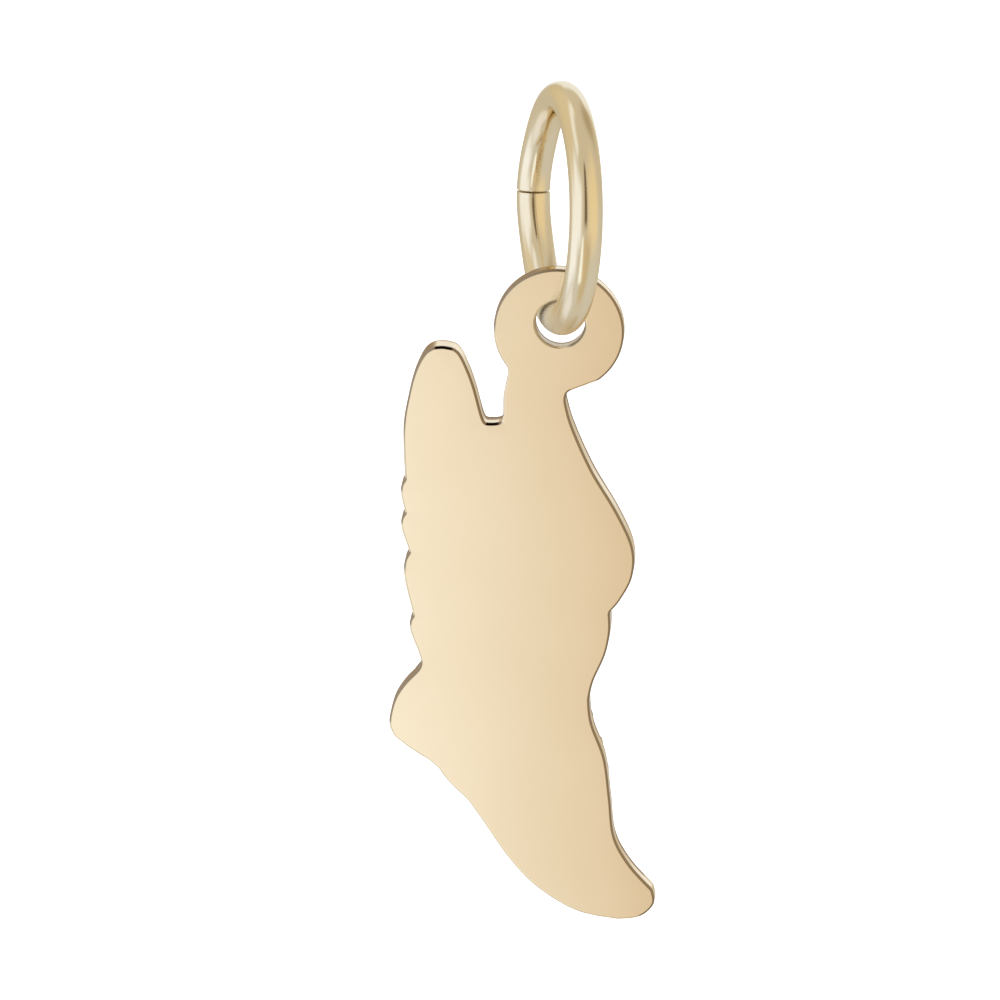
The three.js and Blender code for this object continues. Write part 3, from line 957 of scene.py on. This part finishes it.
    @staticmethod
    def sheet(loops: list[np.ndarray], insets: list[float], step: float) -> tuple[np.ndarray, np.ndarray]:
        """Fill the space between the edge and the hole with triangles.

        Args:
            loops: the outline and the hole, with the metal to their left.
            insets: how far in to repeat the edge.
            step: the size of the triangles further in.

        Returns:
            The points, starting with the loops as given, and the triangles.
        """
        points, edges = [], []
        for inset in insets:
            for loop in loops:
                ring = loop + inset * inward_normals(loop)
                first = len(points)
                points += ring.tolist()
                edges += [(first + i, first + (i + 1) % len(ring)) for i in range(len(ring))]
        low, high = loops[0].min(0), loops[0].max(0)
        xs = np.arange(low[0], high[0], step)
        zs = np.arange(low[1], high[1], step * 0.866)
        grid = np.array([(x + (step / 2 if j % 2 else 0), z) for j, z in enumerate(zs) for x in xs])
        far = np.minimum(*[distance_to_loop(grid, loop) for loop in loops])
        keep = inside(grid, loops[0]) & ~inside(grid, loops[1]) & (far > max(insets) + 0.4 * step)
        points += grid[keep].tolist()
        made = delaunay_2d_cdt([Vector(p) for p in points], edges, [], 0, 1e-7)
        place = np.array([tuple(v) for v in made[0]])
        tris = np.array([t for t in made[2] if len(t) == 3])
        middle = place[tris].mean(1)
        return place, tris[inside(middle, loops[0]) & ~inside(middle, loops[1])]

    def rim_painted_reflection(self, loop: np.ndarray) -> np.ndarray:
        """How dark the back's outer rim is along the edge, from 0 over brown at 1 to black at 2.

        A painted dark reflection line runs where the rim faces up or right, and a painted black reflection where
        the thick body's rim faces straight up.

        Args:
            loop: the outline.

        Returns:
            One value for each point.
        """
        out, far = -inward_normals(loop), self.from_disc(loop)
        neck_side = (far > 0.01) & (loop[:, 0] > -2.0) & (out[:, 0] < -0.8)
        line = np.where(neck_side, 0.0, self.painted_line_facing.share(out))
        return self.line_strength * line + (2 - self.line_strength) * (far > 0.2) * self.painted_black_facing.share(out)

    def hole_painted_reflection(self, loop: np.ndarray) -> np.ndarray:
        """How dark the back's rim is round the hole: a line at its lower right, a fainter one at its left.

        Args:
            loop: the hole.

        Returns:
            One value for each point.
        """
        # A painted dark reflection line round the hole on the back, strongest at its lower right.
        place = loop / np.hypot(*loop.T)[:, None]
        both = self.hole_right.share(place) + self.left_line_share * self.hole_left.share(place)
        return self.line_strength * both

    def hollowness(self, loop: np.ndarray) -> np.ndarray:
        """How much the edge bends in (to 1) or out (to -1) round about each point.

        Args:
            loop: the outline.

        Returns:
            One value for each point.
        """
        run = np.roll(loop, -1, axis=0) - loop
        heading = np.arctan2(run[:, 1], run[:, 0])
        turn = np.append(np.angle(np.exp(1j * np.diff(heading))), 0.0)
        reach = max(1, int(self.bend_reach / np.hypot(*run.T).mean()))
        wrapped = np.concatenate([turn[-reach:], turn, turn[:reach]])
        total = np.convolve(wrapped, np.ones(2 * reach + 1), "valid")
        return np.clip(-total / self.full_bend, -1, 1)

    def wall_burr_and_painted_shade(self, loops: list[np.ndarray],
                      shares: np.ndarray) -> tuple[np.ndarray, list[np.ndarray]]:
        """How dark the walls are: a darker line just below the front, and painted shade on the walls that face up
        and left.

        Args:
            loops: the outline and the hole.
            shares: how far from the front to the back each row of the wall lies.

        Returns:
            The mask along the front's rim, and along each row of the wall.
        """
        edge, smooth = loops[0], np.zeros(len(loops[1]))
        out = -inward_normals(edge)
        # Painted shade on the walls that face up and left: round the disc, and on the wing left of a given line.
        on_wing = self.painted_shade_on_wing.share(out) * (edge[:, 0] < self.painted_shade_wing_left_of)
        painted_side_shade = np.where(self.from_disc(edge) < 0.01, self.painted_shade_on_disc.share(out), on_wing)
        painted_side_shade = np.concatenate([painted_side_shade, smooth])
        hollow = np.concatenate([self.hollowness(edge), smooth])
        # A darker line on the front part of the wall: the fracture zone's own duller metal, with painted shade
        # deeper in inward bends and less on outward ones.
        burr_and_painted_shade = np.clip(0.9 + hollow, 0.1, 1)
        lines = [burr_and_painted_shade * smooth_step(share - 0.22 * np.clip(hollow, 0, 1), 0.34, 0.2) for share in shares]
        return burr_and_painted_shade, [np.maximum(line, painted_side_shade) for line in lines]

    def painted_rim_lines(self, at: np.ndarray, loops: list[np.ndarray]) -> np.ndarray:
        """The painted dark reflection lines on the back's rounded rims.

        Args:
            at: rows of x and z on the back.
            loops: the outline and the hole.

        Returns:
            The line's strength at each point.
        """
        far = np.full(len(at), FAR_AWAY)
        strength = np.zeros(len(at))
        for loop, along in zip(loops, (self.rim_painted_reflection(loops[0]), self.hole_painted_reflection(loops[1]))):
            gap = np.hypot(at[:, None, 0] - loop[None, :, 0], at[:, None, 1] - loop[None, :, 1])
            nearest = gap.argmin(1)
            closer = gap.min(1) < far
            far = np.minimum(far, gap.min(1))
            strength = np.where(closer, along[nearest], strength)
        return strength * (1 - smooth_step(far / self.back_rounding, 0.85, 1.15))

    @staticmethod
    def fall_back(at: np.ndarray, loops: list[np.ndarray], radius: float) -> np.ndarray:
        """Round the rims of a sheet.

        Args:
            at: the sheet's points, starting with the loops.
            loops: the outline and the hole.
            radius: the rounding's radius.

        Returns:
            How far the sheet falls back at each point.
        """
        far = np.minimum(*[distance_to_loop(at, loop) for loop in loops])
        far[:sum(len(loop) for loop in loops)] = 0
        return radius * (1 - np.sqrt(1 - np.clip(1 - far / radius, 0, 1) ** 2))

    @staticmethod
    def wall_faces(loops: list[np.ndarray], rows: list[np.ndarray]) -> tuple[list, list[int]]:
        """Join the rows of the walls, round the outline and round the hole.

        Args:
            loops: the outline and the hole.
            rows: for each row, from the front to the back, the numbers of its points.

        Returns:
            The faces and their material slots.
        """
        faces, kinds = [], []
        starts = np.concatenate([[0], np.cumsum([len(loop) for loop in loops])])
        for above, below in zip(rows, rows[1:]):
            for a, b, kind in zip(starts, starts[1:], (Surface.SHEARED_EDGE, Surface.PUNCHED_HOLE)):
                for i in range(a, b):
                    j = a + (i + 1 - a) % (b - a)
                    faces.append((below[i], below[j], above[j], above[i]))
                kinds += [kind.value] * (b - a)
        return faces, kinds

    def build(self, effects: SharedEffects, finishes: Finishes) -> bpy.types.Object:
        """Build the plate and dress it.

        Args:
            effects: the shared node groups.
            finishes: the finishes.

        Returns:
            The plate, riding on its body.
        """
        loops = [self.outline(), self.hole()]
        rim = sum(len(loop) for loop in loops)
        heights, recesses = self.relief()
        curl = [1 - math.cos(a) for a in np.linspace(0, math.pi / 2, self.rim_rows)]
        front, front_tris = self.sheet(loops, [self.front_rounding * c for c in curl], self.front_step)
        back_insets = [self.back_rounding * c for c in curl] + [self.back_rounding + self.back_margin]
        back, back_tris = self.sheet(loops, back_insets, self.back_step)
        front_depth = self.sample(heights, front) - self.fall_back(front, loops, self.front_rounding)
        back_depth = self.fall_back(back, loops, self.back_rounding)

        shares = np.linspace(0, 1, self.wall_rows + 2)[1:-1]
        walls = [np.column_stack([back[:rim], back_depth[:rim] * share + front_depth[:rim] * (1 - share)])
                 for share in shares]
        flat = np.vstack([np.column_stack([front, front_depth]), np.column_stack([back, back_depth]), *walls])
        middle = self.threading.hole_middle
        place = flat[:, [0, 2, 1]] + np.array([middle.x, self.threading.back_face, middle.z])

        first_back, first_wall = len(front), len(front) + len(back)
        starts = [0, *(first_wall + row * rim for row in range(self.wall_rows)), first_back]
        wall_faces, wall_kinds = self.wall_faces(loops, [start + np.arange(rim) for start in starts])
        faces = [tuple(t[::-1]) for t in front_tris.tolist()]
        faces += [tuple(first_back + i for i in t) for t in back_tris.tolist()] + wall_faces
        kinds = [Surface.STRUCK_FRONT.value] * len(front_tris) + [Surface.MIRROR_BACK.value] * len(back_tris)
        # The front's mask is patina in its hollows, with the walls' front line on its rim; the back's is only the
        # painted dark reflection lines; the walls' is the line below the front and painted shade.
        on_front, on_walls = self.sample(recesses, front), self.wall_burr_and_painted_shade(loops, shares)
        on_front[:rim] = on_walls[0]
        shade_and_patina = np.concatenate([on_front, self.painted_rim_lines(back, loops), *on_walls[1]])

        piece = new_mesh("winged_shoe_plate", place, faces, kinds + wall_kinds, shade_and_patina)
        for finish in (finishes.mirror_back, finishes.sheared_edge, finishes.struck_front,
                       finishes.punched_hole):
            piece.data.materials.append(finish.material(effects))
        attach(piece, "shoe")
        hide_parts("shoe_plate")
        return piece


def placed(name: str, data: bpy.types.ID) -> bpy.types.Object:
    """Put an object into the scene.

    Args:
        name: its name.
        data: its mesh, light or camera.

    Returns:
        The new object.
    """
    piece = bpy.data.objects.new(name, data)
    bpy.context.scene.collection.objects.link(piece)
    return piece


def new_mesh(name: str, place: np.ndarray, faces: list, kinds: list[int],
             shade_and_patina: np.ndarray) -> bpy.types.Object:
    """Make a smooth mesh piece.

    Args:
        name: the piece's name.
        place: rows of x, y and z in millimetres.
        faces: the corners of each face.
        kinds: each face's material slot.
        shade_and_patina: each point's mask of patina and painted shade.

    Returns:
        The new object, linked to the scene.
    """
    mesh = bpy.data.meshes.new(name)
    mesh.from_pydata((place * MM).tolist(), [], faces)
    mesh.polygons.foreach_set("material_index", kinds)
    mesh.attributes.new("shade_and_patina", "FLOAT", "POINT").data.foreach_set("value", shade_and_patina.astype(np.float32))
    mesh.shade_smooth()
    mesh.update()
    return placed(name, mesh)


# The ring


@dataclass
class JumpRing:
    """Drawn wire bent to a ring, with butted ends that were nipped and filed."""

    threading: Threading
    sides: int = 64
    steps: int = 420
    end_rounding: float = 0.022
    end_rows: int = 7
    # How strong the painted shade in the split is at the wire's very ends.
    painted_split_shade: float = 0.3
    wear_middle_deg: float = 12.0
    wear_spread_deg: float = 34.0
    wear_strength: float = 0.95

    def stations(self) -> list[tuple[float, float]]:
        """Step along the wire from its one end to its other.

        Returns:
            For each step the angle, and how much the wire's radius falls short at its rounded ends.
        """
        half_gap = self.threading.split_gap / 2 / self.threading.radius
        first = math.radians(self.threading.split_deg) + half_gap
        last = first + 2 * math.pi - 2 * half_gap
        fillet = self.end_rounding / self.threading.radius
        ends = [(fillet * (1 - math.cos(a)), self.end_rounding * (1 - math.sin(a)))
                for a in np.linspace(0, math.pi / 2, self.end_rows)]
        between = np.linspace(first + fillet, last - fillet, self.steps)[1:-1]
        return ([(first + off, lack) for off, lack in ends] + [(a, 0.0) for a in between]
                + [(last - off, lack) for off, lack in reversed(ends)])

    def burr_and_painted_shade(self, off_end: float, lack: float) -> float:
        """The painted shade in the split near the wire's ends, for a radius that falls short."""
        fillet = self.end_rounding / self.threading.radius
        return self.painted_split_shade * max(0.0, 1 - off_end / (1.2 * fillet)) if lack > 0 else 0.0

    def worn(self, angle: float) -> float:
        """How rubbed the wire is, most where it bears on the eyelet."""
        off = (math.degrees(angle) - self.wear_middle_deg) / self.wear_spread_deg
        return self.wear_strength * math.exp(-off**2)

    def build(self, effects: SharedEffects, finishes: Finishes) -> bpy.types.Object:
        """Build the ring and dress it.

        Args:
            effects: the shared node groups.
            finishes: the finishes.

        Returns:
            The ring, riding on its body.
        """
        t = self.threading
        side = t.facing.cross(t.upright).normalized()
        stations = self.stations()
        first, last = stations[0][0], stations[-1][0]
        place, shade_and_patina, wear = [], [], []
        for angle, lack in stations:
            middle = t.on_ring(angle)
            out = (t.on_ring(angle, 1.0) - middle).normalized()
            radius = t.wire / 2 - lack
            for turn in np.linspace(0, 2 * math.pi, self.sides, endpoint=False):
                place.append(middle + (out * math.cos(turn) + side * math.sin(turn)) * radius)
            # Painted shade in the split, near the wire's ends.
            shade_and_patina += [self.burr_and_painted_shade(min(angle - first, last - angle), lack)] * self.sides
            wear += [self.worn(angle)] * self.sides
        faces = []
        for a in range(0, (len(stations) - 1) * self.sides, self.sides):
            b = a + self.sides
            for j in range(self.sides):
                k = (j + 1) % self.sides
                faces.append((a + j, b + j, b + k, a + k))
        faces.append(tuple(range(self.sides)))
        faces.append(tuple(b + j for j in reversed(range(self.sides))))
        piece = new_mesh("split_jump_ring", np.array([tuple(p) for p in place]), faces, [0] * len(faces),
                         np.array(shade_and_patina))
        piece.data.attributes.new("wear", "FLOAT", "POINT").data.foreach_set("value", wear)
        piece.data.materials.append(finishes.drawn_wire.material(effects))
        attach(piece, "ring")
        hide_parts("jump_ring")
        return piece


# The studio


@dataclass(frozen=True)
class LightPatch:
    """A soft-edged area of the light tent, by its direction from the charm."""

    turn: float
    rise: float
    half_wide: float
    half_high: float
    soft: float
    tone: Colour

    def mask(self, n: Nodes, direction: bpy.types.NodeSocket,
             rise: bpy.types.NodeSocket) -> bpy.types.NodeSocket:
        """Find how fully a direction lies in the patch.

        Args:
            n: the nodes of the tent's material.
            direction: the direction from the charm.
            rise: its angle above the horizon.

        Returns:
            The mask's socket.
        """
        turned = n.add("ShaderNodeVectorRotate", {"Vector": direction, "Angle": math.radians(self.turn)},
                       rotation_type="Z_AXIS").outputs[0]
        parts = n.add("ShaderNodeSeparateXYZ", {0: turned})
        turn = n.math("ABSOLUTE", n.math("ARCTAN2", parts.outputs[0], parts.outputs[1]))
        off = n.math("ABSOLUTE", n.math("SUBTRACT", rise, math.radians(self.rise)))
        soft, wide, high = (math.radians(a) for a in (self.soft, self.half_wide, self.half_high))
        return n.math("MULTIPLY", n.span(turn, wide - soft, wide + soft, 1, 0),
                      n.span(off, high - soft, high + soft, 1, 0))


@dataclass
class Studio:
    """Floor, soft light and camera."""

    centre: tuple[float, float, float] = (-0.0007, -0.0005, -0.0103)
    view_turn_deg: float = 4.5
    view_rise_deg: float = 21.0
    view_middle: tuple[float, float, float] = (-0.0007, -0.0006, -0.0103)
    picture_pixels: float = 1000.0
    pixels_per_mm: float = 41.3
    origin_pixel: Place = (568.0, 120.8)
    lens: float = 1600.0
    sensor: float = 36.0

    background: float = 1.0
    even_light: float = 0.7
    floor_level: float = -0.12
    floor_half: float = 4.0
    floor_tone: Colour = (0.85, 0.85, 0.85)
    floor_lift: float = 0.7
    lamp_size: float = 0.8
    lamp_power: float = 3.0
    lamp_place: tuple[float, float, float] = (-0.4, 0.3, 0.9)

    card_half_wide: float = 0.020
    card_half_high: float = 0.030
    card_distance: float = 0.07
    card_opposite: tuple[float, float, float] = (-0.0011, -0.00086, -0.0122)
    card_slant: float = -0.2
    card_drift: float = 0.008
    card_left: Colour = (1.18, 1.27, 1.37)
    card_right: Colour = (0.73, 0.60, 0.43)

    tent_radius: float = 0.095
    horizon: Place = (-0.08, 0.12)
    lower_tone: Colour = (0.72, 0.71, 0.69)
    upper_tone: Colour = (0.73, 0.69, 0.61)
    patches: tuple[LightPatch, ...] = (
        LightPatch(0, -90, 180, 26, 10, (0.70, 0.67, 0.60)),
        LightPatch(122, 18, 34, 34, 16, (0.96, 0.84, 0.61)),
        LightPatch(168, -38, 30, 34, 12, (0.66, 0.57, 0.40)),
        LightPatch(-60, 30, 34, 28, 14, (0.82, 0.74, 0.58)),
        LightPatch(42, 42, 18, 18, 12, (0.52, 0.45, 0.33)),
        LightPatch(-70, -48, 48, 12, 6, (0.95, 0.97, 1.05)),
        LightPatch(-124, 16, 30, 24, 12, (1.12, 1.20, 1.40)),
        LightPatch(-104, -10, 28, 20, 12, (1.12, 1.20, 1.40)),
        LightPatch(-76, 57, 46, 8, 7, (1.06, 1.12, 1.22)),
        LightPatch(176, 36, 9, 26, 5, (0.17, 0.12, 0.07)),
        LightPatch(6, 10, 22, 18, 5, (1.08, 1.20, 1.45)),
    )

    @property
    def view(self) -> tuple[Vector, Vector, Vector]:
        """The photograph's directions.

        Returns:
            To its right, to its top and towards the eye.
        """
        turn, rise = math.radians(self.view_turn_deg), math.radians(self.view_rise_deg)
        back = Vector((math.sin(turn) * math.cos(rise), -math.cos(turn) * math.cos(rise), math.sin(rise)))
        right = Vector((math.cos(turn), math.sin(turn), 0))
        return right, back.cross(right), back

    @staticmethod
    def pane(name: str, half_wide: float, half_high: float) -> bpy.types.Object:
        """Put one flat rectangle into the scene.

        Args:
            name: its name.
            half_wide: half its width in metres.
            half_high: half its height in metres.

        Returns:
            The new object, in the scene.
        """
        w, h = half_wide, half_high
        mesh = bpy.data.meshes.new(name)
        mesh.from_pydata([(-w, -h, 0), (w, -h, 0), (w, h, 0), (-w, h, 0)], [], [(0, 1, 2, 3)])
        piece = placed(name, mesh)
        return piece

    @staticmethod
    def blank_material(name: str, piece: bpy.types.Object) -> Nodes:
        """Give a piece a material that has no nodes yet.

        Args:
            name: the material's name.
            piece: the piece.

        Returns:
            A helper for its nodes.
        """
        made = bpy.data.materials.new(name)
        made.use_nodes = True
        made.node_tree.nodes.clear()
        piece.data.materials.append(made)
        return Nodes(made.node_tree)

    @staticmethod
    def glow_in_reflections(piece: bpy.types.Object, n: Nodes, tone: bpy.types.NodeSocket) -> None:
        """Make a piece shine with a tone that only reflections see.

        Args:
            piece: the piece.
            n: the nodes of its material.
            tone: the tone.
        """
        glow = n.add("ShaderNodeEmission", {"Color": tone, "Strength": 1.0})
        n.add("ShaderNodeOutputMaterial", {"Surface": glow.outputs[0]})
        piece.data.materials[0].cycles.emission_sampling = "NONE"
        piece.visible_camera = piece.visible_diffuse = piece.visible_shadow = False

    def floor(self) -> bpy.types.Object:
        """Lay a plain pale floor well below the charm, clear when looked at from underneath.

        Returns:
            The floor, in the scene.
        """
        piece = self.pane("floor", self.floor_half, self.floor_half)
        piece.location.z = self.floor_level
        n = self.blank_material("pale_floor", piece)
        lift = n.math("MULTIPLY", self.seen_as_background(n), self.floor_lift)
        plain = n.add("ShaderNodeBsdfDiffuse", {"Color": rgba(self.floor_tone)})
        glow = n.add("ShaderNodeEmission", {"Color": (1, 1, 1, 1), "Strength": lift})
        both = n.add("ShaderNodeAddShader", {0: plain.outputs[0], 1: glow.outputs[0]})
        under = n.math("MULTIPLY", n.add("ShaderNodeNewGeometry").outputs["Backfacing"],
                       n.add("ShaderNodeLightPath").outputs["Is Camera Ray"])
        clear = n.add("ShaderNodeBsdfTransparent")
        one_sided = n.add("ShaderNodeMixShader", {0: under, 1: both.outputs[0], 2: clear.outputs[0]})
        n.add("ShaderNodeOutputMaterial", {"Surface": one_sided.outputs[0]})
        return piece

    @staticmethod
    def seen_as_background(n: Nodes) -> bpy.types.NodeSocket:
        """Tell the rays that show the background from the rest.

        Args:
            n: the nodes of a material or of the world.

        Returns:
            1 for camera, glossy and transmission rays, 0 for the others.
        """
        path = n.add("ShaderNodeLightPath")
        either = n.math("MAXIMUM", path.outputs["Is Camera Ray"], path.outputs["Is Glossy Ray"])
        return n.math("MAXIMUM", either, path.outputs["Is Transmission Ray"])

    def world(self) -> None:
        """White where it is seen, and a plain level of light on everything else."""
        world = bpy.data.worlds.new("plain_light")
        bpy.context.scene.world = world
        world.use_nodes = True
        world.node_tree.nodes.clear()
        n = Nodes(world.node_tree)
        strength = n.math("MULTIPLY_ADD", self.seen_as_background(n), self.background - self.even_light,
                          self.even_light)
        back = n.add("ShaderNodeBackground", {"Color": (1, 1, 1, 1), "Strength": strength})
        n.add("ShaderNodeOutputWorld", {"Surface": back.outputs[0]})

    def tent(self) -> bpy.types.Object:
        """Put a light tent round the charm, for reflections only, with soft areas of tone.

        Returns:
            The tent, in the scene.
        """
        bpy.ops.mesh.primitive_uv_sphere_add(segments=48, ring_count=24, radius=self.tent_radius,
                                             location=self.centre)
        piece = bpy.context.object
        piece.name = "light_tent"
        n = self.blank_material("tent_cloth", piece)
        direction = n.add("ShaderNodeVectorMath", {0: n.object_place()}, operation="NORMALIZE").outputs[0]
        height = n.add("ShaderNodeSeparateXYZ", {0: direction}).outputs[2]
        rise = n.math("ARCSINE", height)
        tone = n.mix(n.span(height, *self.horizon), rgba(self.lower_tone), rgba(self.upper_tone))
        for patch in self.patches:
            tone = n.mix(patch.mask(n, direction, rise), tone, rgba(patch.tone))
        self.glow_in_reflections(piece, n, tone)
        piece.visible_transmission = piece.visible_volume_scatter = False
        return piece

    def card(self) -> bpy.types.Object:
        """Put a small reflector in front of the flat back, which gives it its slow drift of tone.

        Returns:
            The card, in the scene.
        """
        right, _, back = self.view
        away = Vector((-back.x, back.y, -back.z))
        piece = self.pane("reflector_card", self.card_half_wide, self.card_half_high)
        piece.location = Vector(self.card_opposite) + away * self.card_distance
        piece.rotation_mode = "QUATERNION"
        piece.rotation_quaternion = Matrix((right, (-away).cross(right), -away)).transposed().to_quaternion()
        n = self.blank_material("card_tone", piece)
        parts = n.add("ShaderNodeSeparateXYZ", {0: n.object_place()})
        slanted = n.math("MULTIPLY_ADD", parts.outputs[1], self.card_slant, parts.outputs[0])
        share = n.span(slanted, -self.card_drift, self.card_drift)
        self.glow_in_reflections(piece, n, n.mix(share, rgba(self.card_left), rgba(self.card_right)))
        return piece

    def lamp(self) -> bpy.types.Object:
        """Hang one large soft lamp for the floor.

        Returns:
            The lamp.
        """
        light = bpy.data.lights.new("soft_lamp", "AREA")
        light.shape = "RECTANGLE"
        light.size = light.size_y = self.lamp_size
        light.energy = self.lamp_power
        piece = placed("soft_lamp", light)
        piece.location = self.lamp_place
        piece.rotation_mode = "QUATERNION"
        piece.rotation_quaternion = (piece.location - Vector(self.centre)).to_track_quat("Z", "Y")
        piece.visible_glossy = False
        return piece

    def camera(self) -> bpy.types.Object:
        """Set up the photograph's view: from a little to the right and above, with a long lens.

        Returns:
            The camera.
        """
        right, up, back = self.view
        scale, centre, middle = self.pixels_per_mm, self.picture_pixels / 2, Vector(self.view_middle)
        col = self.origin_pixel[0] + scale / MM * middle.dot(right)
        row = self.origin_pixel[1] - scale / MM * middle.dot(up)
        aim = middle + right * ((centre - col) / scale * MM) + up * ((row - centre) / scale * MM)
        made = bpy.data.cameras.new("camera")
        made.lens, made.sensor_width = self.lens, self.sensor
        made.clip_start, made.clip_end = 0.01, 20
        piece = placed("camera", made)
        piece.location = aim + back * (self.picture_pixels / scale * MM * self.lens / self.sensor)
        piece.rotation_mode = "QUATERNION"
        piece.rotation_quaternion = Matrix((right, up, back)).transposed().to_quaternion()
        bpy.context.scene.camera = piece
        return piece

    def build(self) -> list[bpy.types.Object]:
        """Set up the whole studio.

        Returns:
            Everything in it.
        """
        self.world()
        bpy.context.scene.view_settings.view_transform = "Standard"
        return [self.floor(), self.tent(), self.card(), self.lamp(), self.camera()]


def main() -> None:
    """Build the charm and the studio."""
    logging.basicConfig(level=logging.INFO, format="%(name)s: %(message)s")
    effects, finishes, threading = SharedEffects(), Finishes(), Threading()
    for piece in Studio().build():
        LOG.info("stage %s", piece.name)
    for maker in (ShoePlate(threading), JumpRing(threading)):
        piece = maker.build(effects, finishes)
        LOG.info("piece %s: %d faces", piece.name, len(piece.data.polygons))


if __name__ == "__main__":
    main()
